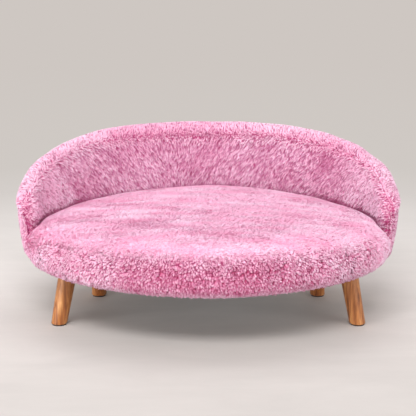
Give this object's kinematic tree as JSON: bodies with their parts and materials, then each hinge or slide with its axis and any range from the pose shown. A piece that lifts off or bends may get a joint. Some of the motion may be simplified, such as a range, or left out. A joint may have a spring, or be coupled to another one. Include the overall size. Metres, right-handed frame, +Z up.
{
  "type": "dog sofa bed",
  "caption": "Oval plush dog sofa bed with a C-shaped padded back, a lift-out cushion and splayed wooden legs.",
  "frame": {"origin": "on the floor, under the middle of the object's outer size", "axes": "+Z up, +Y to the rear, where the back is; +X along the width"},
  "size_m": [0.8546, 0.66, 0.384],
  "materials": {
    "back_plush": "long-pile plush",
    "seat_plush": "short-pile plush on top, longer on the rim",
    "deck_fabric": "woven",
    "dust_cloth": "thin non-woven cloth",
    "plywood": "unfinished birch plywood",
    "leg_wood": "oiled, satin",
    "steel": "zinc-plated",
    "brass": "plain",
    "glide": "matte",
    "foam": "open-cell foam",
    "fibre": "fibre batting",
    "zip_tape": "woven tape",
    "zip_teeth": "moulded",
    "zip_metal": "nickel-coloured"
  },
  "bodies": {
    "base": {"base_board": "plywood", "deck_cover": "deck_fabric", "dust_cover": "dust_cloth", "dust_cover_staples": "steel", "leg_front_left": "leg_wood", "leg_front_right": "leg_wood", "leg_rear_left": "leg_wood", "leg_rear_right": "leg_wood", "leg_plate_front_left": "steel", "leg_plate_front_right": "steel", "leg_plate_rear_left": "steel", "leg_plate_rear_right": "steel", "glide_front_left": "glide", "glide_front_right": "glide", "glide_rear_left": "glide", "glide_rear_right": "glide", "hanger_bolts": "steel", "leg_plate_screws": "steel", "back_rail": "plywood", "back_panel": "plywood", "back_panel_screws": "steel", "back_bolts": "steel", "back_bolt_washers": "steel", "back_insert_nuts": "brass", "back_foam_inner": "foam", "back_foam_outer": "foam", "back_cover": "back_plush"},
    "cushion": {"cushion_cover": "seat_plush", "cushion_foam": "foam", "cushion_fibre": "fibre", "zip_tape": "zip_tape", "zip_teeth": "zip_teeth", "zip_top_stop": "zip_metal", "zip_bottom_stop": "zip_metal"},
    "zip_slider": {"zip_slider": "zip_metal"}
  },
  "joints": [
    {"name": "cushion_lift", "type": "slide", "parent": "base", "child": "cushion", "axis": [0, 0, 1], "range_m": [0, 0.28]},
    {"name": "zip_slide", "type": "slide", "parent": "cushion", "child": "zip_slider", "axis": [1, 0, 0], "range_m": [0, 0.366]}
  ]
}
